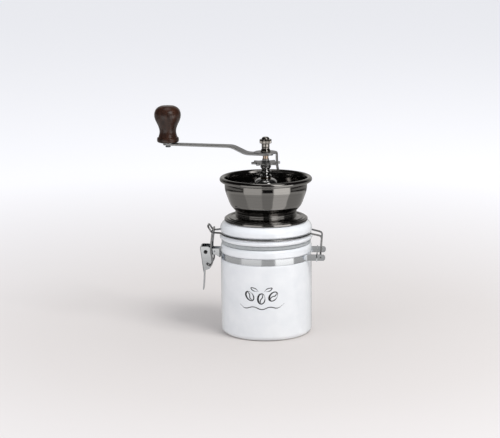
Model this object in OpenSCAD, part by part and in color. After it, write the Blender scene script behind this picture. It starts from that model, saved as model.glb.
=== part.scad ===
// Hand crank coffee grinder on a clip-top ceramic jar.
// Millimetres. Origin: centre of the jar's base. +Z up, hinge of the lid on +X, latch on -X.

/* [Jar] */
// Outer radius of the jar
jar_r = 47.7; // [47.5:0.1:47.9]
// Height of the jar to the top of its rim
jar_h = 96.6; // [96:0.1:97]
// Wall thickness of the jar
jar_wall = 5; // [4:0.5:6]
// Radius of the jar's mouth
mouth_r = 39.5; // [39.3:0.1:40]

/* [Lid] */
// Thickness of the silicone gasket
gasket_h = 4.2; // [4:0.1:4.4]
// Height of the ceramic lid ring over the gasket
lid_h = 19.7; // [19.5:0.1:20]
// Outer radius of the lid ring over its groove
lid_r = 48.6; // [48.4:0.1:48.8]

/* [Clamp] */
// Diameter of the bail and link wire
wire_d = 2; // [1.8:0.1:2.1]
// Height of the middle of the neck band
band_z = 84; // [83.8:0.1:84.2]
// Width of the neck band
band_w = 6.8; // [6.4:0.1:7]
// Distance of the lid's hinge axis from the jar's axis
hinge_x = 58; // [57.5:0.1:58.5]
// Distance of each hinge ear from the middle plane
ear_y = 20.5; // [20:0.1:21]

/* [Hopper] */
// Radius of the rolled rim's centre line
rim_r = 46; // [45.8:0.1:46.2]
// Radius of the roll
roll_r = 2.7; // [2.4:0.1:2.8]
// Sheet thickness of the bowl
bowl_t = 0.9; // [0.8:0.1:1]

/* [Crank] */
// Length of the crank arm, centre to centre
arm_len = 108; // [100:1:115]
// Direction of the arm at rest, degrees from +X
arm_turn = 168; // [0:1:359]
// Thickness of the arm
arm_t = 2.2; // [2:0.1:2.4]
// Rise of the arm's dog-leg
arm_rise = 7.1; // [6:0.1:8]

/* [Knob] */
// Height of the wooden knob
knob_h = 39.4; // [38:0.1:42]
// Largest radius of the knob
knob_r = 14.2; // [13.5:0.1:15]

/* [Mill] */
// Diameter of the drive shaft
shaft_d = 6; // [5.8:0.1:6.2]
// Number of teeth on the inner burr
burr_teeth = 12; // [8:1:14]
// Number of lobes on the adjuster wheel
wheel_lobes = 8; // [6:2:10]

/* [Hidden] */
$fn = 48;

pin_gap = 0.08; // radial play of a wire or pin in its hole
groove_r = jar_r - 0.6; // neck groove that the band lies in
band_r = groove_r + 0.2; // inner radius of the band
band_t = 0.9;
jar_floor = 6;

lid_z = jar_h + gasket_h; // underside of the lid ring
lid_top = lid_z + lid_h;
plug_r = 37.5;
bail_z = lid_z + 7; // height of the bail's ring
bail_r = lid_r; // radius of the bail's ring
strand_y = 11.5; // where the bail leaves the lid, off the middle plane

ear_t = 1;
ear_end = 63; // outer end of the ears
leg_y = ear_y - ear_t / 2 - wire_d / 2 - 0.4; // bail legs, inside the ears

pivot = [-64, 86.6]; // lever pivot, [x, z]
link_low = [-62.5, 73.9]; // link's pivot in the lever, [x, z]
link_top = [-56, 110.2]; // crossbar of the link, [x, z]
ear_in = 6.4; // outer face of the bracket's ears, off the middle plane
cheek_out = 8.4; // outer face of the lever's cheeks
cheek_t = 1;
link_y = cheek_out + 1.3 + wire_d / 2; // legs of the link

collar_r = 44;
neck_r = 32;
throat_r = 22.5;
floor_z = 129; // outside of the bowl's floor at the throat
rim_z = 164.2; // centre of the roll
housing_r = 24.5;
flange_z = lid_top; // housing flange lies on the lid
screw_ring = 28.6; // radius of the clamp screws' circle
bridge_ring = 26.2; // radius of the bridge screws' circle
foot_t = 1.6; // thickness of the bridge's feet
dome_r = 13.2;
dome_top = 165;

burr_z = 98.5; // lower end of the inner burr
burr_h = 24;
hub_z = dome_top + 0.35; // adjuster hub stands just over the bushing
wheel_z = 179.9;
wheel_t = 2.4;
arm_z = 189.4; // underside of the arm at the shaft
clip_z = arm_z + arm_t;
clip_t = 1.3;
nut_z = clip_z + clip_t;
washer_z = arm_z + arm_rise + arm_t;
knob_z = washer_z + 0.7;
spindle_d = 4.4;

// Points of an arc from angle a to angle b
function arc(c, r, a, b, n = 6) = [for (i = [0:n]) c + r * [cos(a + (b - a) * i / n), sin(a + (b - a) * i / n)]];

// A profile in [radius, z] turned round the Z axis
module turned(profile) {
    rotate_extrude($fn = 96) polygon(profile);
}

// Unit vector
function unit(v) = v / norm(v);

// Route with each inner corner rounded: points of a quadratic curve between two points r off the corner
function rounded(p, r, n = 3) = [
    for (i = [0:len(p) - 1])
        if (i == 0 || i == len(p) - 1) p[i]
        else for (k = [0:n])
            let (t = k / n, a = p[i] + r[i] * unit(p[i - 1] - p[i]), b = p[i] + r[i] * unit(p[i + 1] - p[i]))
            (1 - t) * (1 - t) * a + 2 * t * (1 - t) * p[i] + t * t * b
];

// Direction of a route at point i
function along(p, i) = unit(p[min(i + 1, len(p) - 1)] - p[max(i - 1, 0)]);

// Round wire of radius r along route p, started with side vector u
module wire(p, r, u, sides = 8) {
    frames = [for (i = 0, v = u; i < len(p); i = i + 1,
        v = i < len(p) ? unit(v - (v * along(p, i)) * along(p, i)) : v) v];
    points = [for (i = [0:len(p) - 1])
        let (t = along(p, i), v = unit(frames[i] - (frames[i] * t) * t), w = cross(t, v))
        for (k = [0:sides - 1]) p[i] + r * (cos(360 * k / sides) * v + sin(360 * k / sides) * w)];
    last = (len(p) - 1) * sides;
    faces = concat(
        [[for (k = [0:sides - 1]) k]],
        [[for (k = [sides - 1:-1:0]) last + k]],
        [for (i = [0:len(p) - 2], k = [0:sides - 1]) let (a = i * sides, n = (k + 1) % sides)
            [a + k, a + sides + k, a + sides + n, a + n]]);
    polyhedron(points, faces, convexity = 6);
}

// Cylinder along Y, centred on the middle plane
module cross_pin(at, r, length) {
    translate([at[0], 0, at[1]]) rotate([90, 0, 0]) cylinder(r = r, h = length, center = true);
}

// Plate in the XZ plane, from y to y + t
module side_plate(outline, y, t) {
    translate([0, y + t, 0]) rotate([90, 0, 0]) linear_extrude(t) polygon(outline);
}

// Glazed ceramic jar with a groove round its neck
module canister() {
    inner_r = jar_r - jar_wall;
    groove_low = band_z - band_w / 2 - 0.2;
    groove_high = band_z + band_w / 2 + 0.2;
    color("white") turned(concat(
        [[0, 0]],
        arc([jar_r - 5, 5], 5, -90, 0, 8),
        [[jar_r, groove_low - 4]],
        arc([jar_r - 0.7, groove_low - 1.6], 1.3, -25, 90, 5),
        [[groove_r, groove_low], [groove_r, groove_high]],
        arc([jar_r - 2.2, groove_high + 2.4], 2.4, -80, 0),
        arc([jar_r - 2.3, jar_h - 2.6], 2.6, 0, 90),
        arc([mouth_r + 1.5, jar_h - 1.5], 1.5, 90, 180, 4),
        [[mouth_r, groove_high], [inner_r, groove_low]],
        arc([inner_r - 6, jar_floor + 6], 6, 0, -90, 8),
        [[0, jar_floor]]));
}

// Steel strip round the neck, its ends bent out as the hinge ears
module neck_band() {
    outer_r = band_r + band_t;
    bend_r = 2.5;
    bend_y = ear_y + ear_t / 2 + bend_r;
    bend_x = sqrt(pow(outer_r + bend_r, 2) - bend_y * bend_y);
    bend_angle = atan2(bend_y, bend_x);
    mid_r = band_r + band_t / 2;
    root_x = sqrt(mid_r * mid_r - ear_y * ear_y);
    far = 80;
    color("silver") difference() {
        translate([0, 0, band_z - band_w / 2]) {
            difference() {
                cylinder(r = outer_r, h = band_w, $fn = 96);
                translate([0, 0, -1]) cylinder(r = band_r, h = band_w + 2, $fn = 96);
                translate([0, 0, -1]) linear_extrude(band_w + 2)
                    polygon([[0, 0], 2 * [root_x, ear_y], 2 * [root_x, -ear_y]]);
            }
            for (s = [-1, 1]) {
                linear_extrude(band_w) polygon([[mid_r * cos(bend_angle), s * mid_r * sin(bend_angle)],
                    [root_x, s * ear_y], [bend_x, s * ear_y], [bend_x, s * bend_y]]);
                translate([root_x - 0.2, s * ear_y - ear_t / 2, 0]) cube([ear_end - root_x + 0.2, ear_t, band_w]);
            }
        }
        for (s = [-1, 1]) translate([bend_x, s * bend_y, 0]) cylinder(r = bend_r + 0.05, h = 200);
        cross_pin([hinge_x, band_z], wire_d / 2 + pin_gap, far);
        for (s = [-1, 1])
            translate([ear_end, 0, band_z + s * band_w / 2]) rotate([0, 45, 0]) cube([2.4, far, 2.4], center = true);
    }
}

// Tie plate that holds the two ears together
module band_tie() {
    reach = ear_y + 2.4;
    tall = band_w + 2;
    color("silver") difference() {
        translate([53.6, -reach, band_z - tall / 2]) cube([1, 2 * reach, tall]);
        for (s = [-1, 1])
            translate([53, s * ear_y - ear_t / 2 - 0.1, band_z - band_w / 2 - 0.1])
                cube([2, ear_t + 0.2, band_w + 0.2]);
    }
}

// Bracket welded on the band, with two ears for the lever's pivot
module latch_bracket() {
    base_x = -(band_r + band_t) - 0.2;
    top = 89.9;
    low = 83.2;
    outline = concat([[base_x, band_z - band_w / 2], [base_x, top]],
        arc(pivot, 3.3, 90, 270, 8), [[base_x - 5, low], [base_x - 1.4, band_z - band_w / 2]]);
    color("silver") difference() {
        union() {
            for (s = [-1, 1]) side_plate(outline, s * (ear_in - cheek_t / 2) - cheek_t / 2, cheek_t);
            translate([base_x - 1, -ear_in, band_z - band_w / 2]) cube([1, 2 * ear_in, top - band_z + band_w / 2]);
        }
        cross_pin(pivot, 1.5 + pin_gap / 2, 40);
    }
}

// Rivet that the lever turns on
module lever_pin() {
    head = cheek_out + 0.2;
    color("gray") {
        cross_pin(pivot, 1.5, 2 * head);
        for (s = [-1, 1]) translate([pivot[0], s * head, pivot[1]]) rotate([-90 * s, 0, 0])
            rotate_extrude() polygon([[0, 0], [2.1, 0], [1.9, 0.4], [1.2, 0.65], [0, 0.75]]);
    }
}

// Sheet-metal lever: two cheeks, a web, and a long thin tail
module latch_lever() {
    top = [-70, 91.2];
    waist = [-66.6, 64.4];
    tip = [-67.9, 43.6];
    t = 1.2;
    cheek = concat([top, [-68.6, 92.4], [-62.4, 92.4]], arc([-62.4, 88.4], 4, 80, 0, 4),
        [[-58, 74]], arc([-62.4, 72], 4.4, 10, -80, 5), [[-64.9, 66.6], waist]);
    color("silver") difference() {
        union() {
            for (s = [-1, 1]) side_plate(cheek, s * (cheek_out - cheek_t / 2) - cheek_t / 2, cheek_t);
            side_plate([top, [top[0] + t, top[1] + 1.2], [waist[0] + t, waist[1]], [waist[0], waist[1]]],
                -cheek_out, 2 * cheek_out);
            side_plate([[waist[0], waist[1] + 4], [waist[0] + t, waist[1] + 4], [waist[0] + t, waist[1]],
                [tip[0] + t, tip[1]], tip, waist], -5.5, 11);
        }
        cross_pin(pivot, 1.5 + pin_gap, 40);
        cross_pin(link_low, wire_d / 2 + pin_gap, 40);
    }
}

// Wire link: crossbar in the bail's hook, two legs, and tips in the lever
module latch_link() {
    color("silver") {
        for (s = [-1, 1]) translate([link_low[0], s * (link_y + 1), link_low[1]]) rotate([90 * s, 0, 0])
            cylinder(r = wire_d / 2, h = link_y + 1 - ear_in - 0.6);
        wire(rounded([
            [link_low[0], -link_y, link_low[1]],
            [-58.6, -link_y, 71.6],
            [-56.2, -link_y, 77],
            [-58.6, -link_y, 89],
            [link_top[0], -link_y, link_top[1]],
            [link_top[0], link_y, link_top[1]],
            [-58.6, link_y, 89],
            [-56.2, link_y, 77],
            [-58.6, link_y, 71.6],
            [link_low[0], link_y, link_low[1]]],
            [0, 2.6, 3, 6, 2.4, 2.4, 6, 3, 2.6, 0]), wire_d / 2 * 0.98, [0, 1, 0]);
    }
}

// Silicone ring between jar and lid
module gasket() {
    color("lightgray") turned(concat(
        [[plug_r + 0.1, jar_h], [46, jar_h]],
        arc([45.4, jar_h + gasket_h / 2], 2, -80, 80, 8),
        [[46, lid_z], [plug_r + 0.1, lid_z]]));
}

// Glazed ceramic lid ring, hollow below, with a groove for the bail
module lid_ring() {
    bead = 2.4;
    recess_z = 112;
    color("white") difference() {
        turned(concat(
            [[plug_r - 4, 94.5], [plug_r - 3.5, 94], [plug_r - 1, 94], [plug_r, 95], [plug_r, lid_z]],
            arc([lid_r + 0.6 - bead, lid_z + bead], bead, -80, 70, 8),
            [[lid_r - 0.2, bail_z - 1.9]],
            arc([bail_r + 0.4, bail_z], 1.9, 235, 125, 6),
            [[lid_r - 0.1, bail_z + 1.7]],
            arc([lid_r - 8.4, lid_top - 8.3], 8.3, 8, 76, 8),
            [[lid_r - 8, lid_top], [housing_r + 1, lid_top], [housing_r + 1, recess_z],
                [plug_r - 4, recess_z]]));
        for (a = [0:120:240]) rotate(a) translate([screw_ring, 0, recess_z - 1]) cylinder(r = 2, h = 20);
    }
}

// Half of the bail's route on the side s: hook loop, ring and leg
function bail_half(s) = rounded(concat(
    [[-61.3, 0, 114.2], [-61.3, 7.2 * s, 114.2], [-57.2, 7.9 * s, 107.5], [-53, 8.6 * s, 107.5]],
    [for (a = [asin(strand_y / bail_r):10.95:180]) if (a < 181 - asin(strand_y / bail_r))
        [-bail_r * cos(a), bail_r * sin(a) * s, bail_z]],
    [[59.2, 10.2 * s, 105], [hinge_x, leg_y * s, 89], [hinge_x, leg_y * s, band_z], [hinge_x, 21.4 * s, band_z]]),
    concat([0, 3, 3, 2.5], [for (i = [0:14]) 2], [3.2, 3, 1.6, 0]), 2);
function reversed(p) = [for (i = [len(p) - 1:-1:0]) p[i]];

// Bail: ring in the lid's groove, hook loop on the latch side, two legs with tips in the ears
module bail_wire() {
    color("silver") {
        wire(concat(reversed(bail_half(-1)), [for (i = [1:len(bail_half(1)) - 1]) bail_half(1)[i]]),
            wire_d / 2 * 0.98, [1, 0, 0]);
        for (s = [-1, 1]) translate([hinge_x, s * (leg_y + 0.6), band_z]) rotate([-90 * s, 0, 0])
            cylinder(r = wire_d / 2, h = ear_y + 1.8 - leg_y - 0.6);
    }
}

// Pressed base under the bowl: ribbed neck and stepped flange
module base_collar() {
    t = 0.9;
    top = 130;
    rib = 1.2;
    color("dimgray") turned(concat(
        [[collar_r - t, lid_top], [collar_r - 0.3, lid_top], [collar_r, lid_top + 0.4], [collar_r - 0.5, lid_top + 1.3]],
        arc([collar_r - 1, lid_top + 2.5], 1, -60, 90, 6),
        arc([neck_r + 3.2, lid_top + 5.6 + 1.2], 1.9, 250, 185, 4),
        [for (i = [0:2]) each arc([neck_r, 127 + rib * i], 0.6, -70, 70, 4)],
        [[neck_r - 0.3, top], [neck_r - 0.3 - t, top], [neck_r - 0.3 - t, lid_top + 5.4],
            [collar_r - 1 - t, lid_top + 3.1 - t]]));
}

// Outside of the bowl, from the throat to under the rim, in [radius, z]
bowl_curve = [[throat_r + 0.3, floor_z], [28.8, floor_z], [30.4, floor_z + 0.9], [32, 131.4], [34.4, 133.5],
    [36.7, 136.2], [38.3, 139], [39.6, 142], [41.3, 147], [42.5, 152.3], [43.2, 157.4], [43.7, 161.6]];
// The same curve moved in by the sheet's thickness
function moved_in(p, t) = [for (i = [0:len(p) - 1])
    let (d = unit(p[min(i + 1, len(p) - 1)] - p[max(i - 1, 0)])) p[i] + t * [-d[1], d[0]]];

// Hopper bowl with a rolled rim
module hopper_bowl() {
    color("dimgray") difference() {
        union() {
            turned(concat(bowl_curve, [[rim_r - roll_r + 0.6, rim_z]], [[rim_r - roll_r + 0.25, rim_z]],
                reversed(moved_in(bowl_curve, bowl_t))));
            rotate_extrude($fn = 96) translate([rim_r, rim_z]) circle(roll_r);
        }
        for (a = [60:120:300]) rotate(a) translate([bridge_ring, 0, 120]) cylinder(r = 1.7, h = 20);
    }
}

// Cast housing of the mill: flange on the lid, throat ring under the bowl, seat for the outer burr
module burr_housing() {
    seat_r = 21;
    lip_r = 18.4;
    color("gray") difference() {
        turned([[lip_r, 96], [housing_r - 0.6, 96], [housing_r, 96.6], [housing_r, flange_z], [31.4, flange_z],
            [31.4, flange_z + 3.5], [28.4, flange_z + 4.2], [28.4, floor_z - 0.05], [throat_r, floor_z - 0.05],
            [throat_r, 122], [seat_r, 122], [seat_r, 98], [lip_r, 98]]);
        for (a = [0:120:240]) rotate(a) translate([screw_ring, 0, 110]) cylinder(r = 1.5, h = 13);
        for (a = [60:120:300]) rotate(a) translate([bridge_ring, 0, 123]) cylinder(r = 1.5, h = 9);
    }
}

// Fixed burr: a ring with a grooved cone inside
module outer_burr() {
    top = 121.8;
    color("darkgray") difference() {
        turned([[16.3, 98.1], [20.95, 98.1], [20.95, top], [19.4, top], [16.3, 101.5]]);
        for (i = [0:15]) rotate(i * 22.5) translate([18.2, 0, 110]) rotate([0, 8.7, 0]) rotate([0, 0, 45])
            cube([1.7, 1.7, 40], center = true);
    }
}

// Steel ring under the lid that the clamp screws pull against
module clamp_plate() {
    color("silver") difference() {
        translate([0, 0, 110.4]) cylinder(r = 32.5, h = 1.5, $fn = 96);
        translate([0, 0, 109]) cylinder(r = housing_r + 0.4, h = 4, $fn = 96);
        for (a = [0:120:240]) rotate(a) translate([screw_ring, 0, 105]) cylinder(r = 1.7, h = 12);
    }
}

// Pan-head screws from below, through plate and lid into the housing
module clamp_screws() {
    color("silver") for (a = [0:120:240]) rotate(a) translate([screw_ring, 0, 0]) {
        translate([0, 0, 110.3]) cylinder(r = 1.45, h = 12);
        translate([0, 0, 110.3]) rotate([180, 0, 0])
            rotate_extrude() polygon(concat([[0, 0]], arc([1, 0], 1.8, 0, 90, 4), [[0, 1.8]]));
    }
}

// Three-armed bridge over the throat, with a domed cap that holds the bushing
module bridge() {
    foot_z = floor_z + bowl_t + 0.05;
    arm_outline = [[9, 158], [13, 157.6], [23.4, foot_z + foot_t], [28.6, foot_z + foot_t], [28.6, foot_z],
        [21.6, foot_z], [10.8, 155.2], [9, 155.2]];
    color("silver") difference() {
        union() {
            turned(concat(
                [[5.85, 150], [8, 150], [8, 156], [dome_r, 156], [dome_r, 159.4]],
                arc([dome_r - 7.2, dome_top - 7.4], 7.4, 14, 84, 6),
                [[5.85, dome_top]]));
            for (a = [60:120:300]) rotate(a) side_plate(arm_outline, -3, 6);
        }
        for (a = [60:120:300]) rotate(a) translate([bridge_ring, 0, 120]) cylinder(r = 1.7, h = 20);
    }
}

// Screws through the bridge's feet and the bowl into the housing
module bridge_screws() {
    head_z = floor_z + bowl_t + foot_t + 0.1;
    color("silver") for (a = [60:120:300]) rotate(a) translate([bridge_ring, 0, 0]) {
        translate([0, 0, head_z - 8]) cylinder(r = 1.45, h = 8);
        translate([0, 0, head_z])
            rotate_extrude() polygon(concat([[0, 0]], arc([0.8, 0], 1.5, 0, 90, 4), [[0, 1.5]]));
    }
}

// Bushing pressed in the bridge
module shaft_bushing() {
    color("gray") difference() {
        translate([0, 0, 148]) cylinder(r = 5.8, h = dome_top - 148);
        translate([0, 0, 140]) cylinder(r = shaft_d / 2 + pin_gap, h = 40);
    }
}

// Spring that presses the inner burr down
module burr_spring() {
    turns = 6;
    low = burr_z + burr_h + 3.2;
    high = 147.2;
    color("silver") wire([for (i = [0:turns * 12]) let (a = i * 30)
        [4.6 * cos(a), 4.6 * sin(a), low + (high - low) * i / (turns * 12)]], 0.6, [1, 0, 0], 6);
}

// Drive shaft with a shoulder over the inner burr
module shaft() {
    shoulder_z = burr_z + burr_h + 0.05;
    color("silver") {
        translate([0, 0, 92]) cylinder(d = shaft_d, h = 110);
        translate([0, 0, shoulder_z]) cylinder(r = 5.4, h = 2.2);
    }
}

// Conical inner burr: a cone cut to a star of teeth, with a plain grinding land at its wide end
module inner_burr() {
    core_top = 6.6;
    core_low = 13.6;
    tip_low = 15.6;
    land_h = 1.6;
    tooth = 360 / burr_teeth;
    color("darkgray") difference() {
        union() {
            translate([0, 0, burr_z]) cylinder(r1 = core_low, r2 = core_top, h = burr_h);
            translate([0, 0, burr_z]) cylinder(r = tip_low, h = land_h);
            intersection() {
                translate([0, 0, burr_z]) cylinder(r1 = tip_low - 0.1, r2 = 8.4, h = burr_h);
                translate([0, 0, burr_z]) linear_extrude(burr_h) polygon([for (i = [0:burr_teeth - 1])
                    each [5 * [cos(i * tooth), sin(i * tooth)],
                        17 * [cos(i * tooth + 2), sin(i * tooth + 2)],
                        17 * [cos(i * tooth + 7), sin(i * tooth + 7)],
                        5 * [cos((i + 0.7) * tooth), sin((i + 0.7) * tooth)]]]);
            }
        }
        translate([0, 0, 90]) cylinder(r = shaft_d / 2 + 0.03, h = 60);
    }
}

// Washer under the inner burr
module burr_washer() {
    color("silver") difference() {
        translate([0, 0, burr_z - 1.3]) cylinder(r = 7, h = 1.25);
        translate([0, 0, 90]) cylinder(r = shaft_d / 2 + 0.1, h = 20);
    }
}

// Hexagon nut under the washer
module burr_nut() {
    color("silver") difference() {
        translate([0, 0, burr_z - 6.4]) cylinder(r = 5.77, h = 5, $fn = 6);
        translate([0, 0, 90]) cylinder(r = shaft_d / 2 + 0.03, h = 20);
    }
}

// Beaded hub that the adjuster wheel stands on
module adjuster_hub() {
    beads = [[6.15, 166.9], [5.8, 172.1], [5.65, 177.4]]; // radius and height of each bead
    color("dimgray") turned(concat(
        [[shaft_d / 2 + 0.03, hub_z], [5.5, hub_z]],
        arc([beads[0][0] - 1.5, beads[0][1]], 1.5, -50, 60, 5),
        [[4.65, 169.4]],
        arc([beads[1][0] - 1.6, beads[1][1]], 1.6, -55, 55, 6),
        [[4.05, 174.4]],
        arc([beads[2][0] - 1.5, beads[2][1]], 1.5, -55, 50, 6),
        [[4.4, 179.2], [4.4, wheel_z - 0.05], [shaft_d / 2 + 0.03, wheel_z - 0.05]]));
}

// Star-shaped wheel that sets the grind
module adjuster_wheel() {
    pitch = 360 / wheel_lobes;
    color("gray") difference() {
        union() {
            translate([0, 0, wheel_z]) cylinder(r = 15.2, h = wheel_t, $fn = 96);
            translate([0, 0, wheel_z + wheel_t]) cylinder(r1 = 4.4, r2 = 3.3, h = 3.4);
        }
        for (i = [0:wheel_lobes - 1]) rotate(arm_turn + i * pitch)
            translate([15.4, 0, wheel_z - 1]) cylinder(r = 4.6, h = wheel_t + 2);
        translate([0, 0, wheel_z - 5]) cylinder(r = shaft_d / 2 + 0.03, h = 20);
    }
}

// Disc over the arm with a tab bent down through a notch of the wheel
module lock_clip() {
    tab_x = 11.4;
    tab_t = 1.1;
    color("silver") rotate(arm_turn + 180) difference() {
        union() {
            translate([0, 0, clip_z]) cylinder(r = 12.4, h = clip_t, $fn = 96);
            side_plate([[tab_x - 0.6, clip_z + clip_t], [tab_x + tab_t, clip_z + clip_t], [tab_x + tab_t + 0.3, clip_z],
                [tab_x + tab_t + 1, 178], [tab_x + tab_t + 2.2, 174.4], [tab_x + 2.2, 173.9], [tab_x + 0.9, 178],
                [tab_x + 0.2, clip_z]], -2, 4);
        }
        translate([0, 0, clip_z - 1]) cylinder(r = shaft_d / 2 + 0.05, h = 4);
    }
}

// Flat steel arm with a dog-leg
module crank_arm() {
    hub_end = 8;
    bend_a = 20.8;
    bend_b = 36.6;
    half_wide = 7;
    half_slim = 5;
    end_r = 5.4;
    high = arm_z + arm_rise;
    color("silver") rotate(arm_turn) difference() {
        intersection() {
            translate([0, 0, arm_z - 5]) linear_extrude(30) {
                circle(hub_end);
                polygon([[0, -half_wide], [arm_len, -half_slim], [arm_len, half_slim], [0, half_wide]]);
                translate([arm_len, 0]) circle(end_r);
            }
            side_plate(concat(
                [[-20, arm_z], [bend_a, arm_z], [bend_b, high], [arm_len + 20, high], [arm_len + 20, high + arm_t]],
                [[bend_b - 0.5, high + arm_t], [bend_a - 0.5, arm_z + arm_t], [-20, arm_z + arm_t]]), -20, 40);
        }
        translate([0, 0, arm_z - 1]) cylinder(r = shaft_d / 2 + 0.03, h = 5);
        translate([arm_len, 0, high - 1]) cylinder(r = spindle_d / 2 + 0.03, h = 5);
    }
}

// Tall nut with a waist and a knurled grip
module top_nut() {
    knurl_z = 201.8;
    knurl_h = 4.4;
    knurls = 28;
    color("silver") difference() {
        union() {
            turned(concat(
                [[0, nut_z], [5.3, nut_z], [5.3, 194.3]],
                arc([5.3 + 0.4, 196.4], 1.6, 215, 165, 4),
                [[4.2, 198.2], [4.2, knurl_z], [4.8, knurl_z + 0.1], [4.8, knurl_z + knurl_h]],
                arc([2.1, knurl_z + knurl_h + 0.1], 2.3, 0, 80, 5),
                [[0, knurl_z + knurl_h + 2.4]]));
            translate([0, 0, knurl_z]) linear_extrude(knurl_h) polygon([for (i = [0:2 * knurls - 1])
                (i % 2 == 0 ? 6.3 : 5.8) * [cos(180 * i / knurls), sin(180 * i / knurls)]]);
        }
        translate([0, 0, nut_z - 1]) cylinder(r = shaft_d / 2 + 0.03, h = 202.2 - nut_z + 1);
    }
}

// Headed spindle, riveted up through the arm into the knob
module knob_spindle() {
    under = arm_z + arm_rise;
    color("silver") rotate(arm_turn) translate([arm_len, 0, 0]) {
        translate([0, 0, under]) cylinder(d = spindle_d, h = knob_z + 28 - under);
        translate([0, 0, under - 2.3]) cylinder(r1 = 3, r2 = spindle_d / 2, h = 2.3);
    }
}

// Washer between arm and knob
module knob_washer() {
    color("silver") rotate(arm_turn) translate([arm_len, 0, washer_z + 0.02]) difference() {
        cylinder(r = 7.4, h = 0.5);
        translate([0, 0, -1]) cylinder(r = spindle_d / 2 + 0.04, h = 3);
    }
}

// Turned wooden knob
module knob() {
    scale_z = knob_h / 39.4;
    side = [[9.2, 0], [10.4, 0.5], [11.3, 1.8], [11.6, 3.4], [11.3, 4.9], [10.6, 5.8], [10.4, 6.2], [9.8, 7.6],
        [9.1, 9.8], [8.9, 12], [9.2, 14.6], [10.2, 17.8], [11.6, 20.8], [13, 23.8], [13.9, 26.6], [knob_r, 29],
        [14, 31.6], [13.1, 34.3], [11.5, 36.6], [9.4, 38.2], [7.2, 39.1], [6, 39.4]];
    color("saddlebrown") rotate(arm_turn) translate([arm_len, 0, knob_z]) difference() {
        turned(concat([[0, 0]], [for (p = side) [p[0], p[1] * scale_z]], [[0, knob_h]]));
        translate([0, 0, -1]) cylinder(r = spindle_d / 2 + pin_gap, h = 30);
    }
}

canister();
neck_band();
band_tie();
latch_bracket();
lever_pin();
latch_lever();
latch_link();
gasket();
lid_ring();
bail_wire();
base_collar();
hopper_bowl();
burr_housing();
outer_burr();
clamp_plate();
clamp_screws();
bridge();
bridge_screws();
shaft_bushing();
burr_spring();
shaft();
inner_burr();
burr_washer();
burr_nut();
adjuster_hub();
adjuster_wheel();
lock_clip();
crank_arm();
top_nut();
knob_spindle();
knob_washer();
knob();
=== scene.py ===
"""Hand crank coffee grinder on a clip-top stoneware jar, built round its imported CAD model.

Lengths here are millimetres; the mesh builder turns them to metres. +X is the lid's hinge, -X its latch,
and the front of the jar faces -Y.
"""

import math

import bmesh
import bpy
import numpy as np
from mathutils import Euler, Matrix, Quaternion, Vector


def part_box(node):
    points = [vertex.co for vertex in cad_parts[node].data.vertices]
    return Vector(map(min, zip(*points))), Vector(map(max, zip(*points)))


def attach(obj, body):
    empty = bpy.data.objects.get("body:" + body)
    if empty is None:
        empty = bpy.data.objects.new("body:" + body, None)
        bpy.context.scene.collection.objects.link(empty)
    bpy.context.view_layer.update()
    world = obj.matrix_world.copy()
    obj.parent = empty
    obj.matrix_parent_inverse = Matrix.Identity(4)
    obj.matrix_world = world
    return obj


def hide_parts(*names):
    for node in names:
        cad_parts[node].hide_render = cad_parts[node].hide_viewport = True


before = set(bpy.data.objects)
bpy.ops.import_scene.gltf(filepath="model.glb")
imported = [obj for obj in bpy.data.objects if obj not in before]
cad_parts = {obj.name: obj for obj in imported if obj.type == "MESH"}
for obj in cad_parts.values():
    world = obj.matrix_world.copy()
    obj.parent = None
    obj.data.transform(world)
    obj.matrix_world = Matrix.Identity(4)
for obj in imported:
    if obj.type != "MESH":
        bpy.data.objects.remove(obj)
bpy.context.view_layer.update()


# ---------------------------------------------------------------- studio
# Tabletop studio: a plain pale top, an even sky, one large soft key from the right, a weak fill from the left
# and a camera on a tripod. Polished metal sees a jeweller's tent, which is not modelled: the sky shows its
# lamps to mirror rays alone, and the table top shows them its two white cards with a black gap between.

CAMERA_SPOT = (-17, -1500, 421.6)
CAMERA_TURN = 4  # degrees that the grinder stands turned to the camera
CAMERA_TILT = 11.33
CAMERA_ROLL = 0.5
LENS = 104.06
CARD_LEFT = (-64, -11, 0.85)  # azimuth of a card's edges, degrees from the camera, and its brightness
CARD_RIGHT = (20, 69, 1.4)
SIDE_WALLS = (72, 293)  # azimuths between which the tent's side walls and back lie
BEHIND = (125, 235, 0.2)  # azimuths and brightness of the pale room behind the grinder
TENT_WHITE = "F4F2EF"


def linear(code):
    """Linear RGBA of an sRGB hex code: c / 12.92 where dark, else ((c + 0.055) / 1.055) ** 2.4."""
    c = np.array([int(code[i:i + 2], 16) for i in (0, 2, 4)]) / 255
    c = np.where(c <= 0.04045, c / 12.92, ((c + 0.055) / 1.055) ** 2.4)
    return (*c.tolist(), 1)


def node(tree, kind, inputs=None, stops=(), **properties):
    """One shader node. An input is linked where its value is a socket, and set where it is a number; stops
    are a colour ramp's (place, hex colour) pairs."""
    made = tree.nodes.new(kind)
    for name, value in properties.items():
        setattr(made, name, value)
    for name, value in (inputs or {}).items():
        if isinstance(value, bpy.types.NodeSocket):
            tree.links.new(value, made.inputs[name])
        else:
            made.inputs[name].default_value = value
    for element, (place, code) in zip(made.color_ramp.elements if stops else (), stops):
        element.position, element.color = place, linear(code)
    return made


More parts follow.
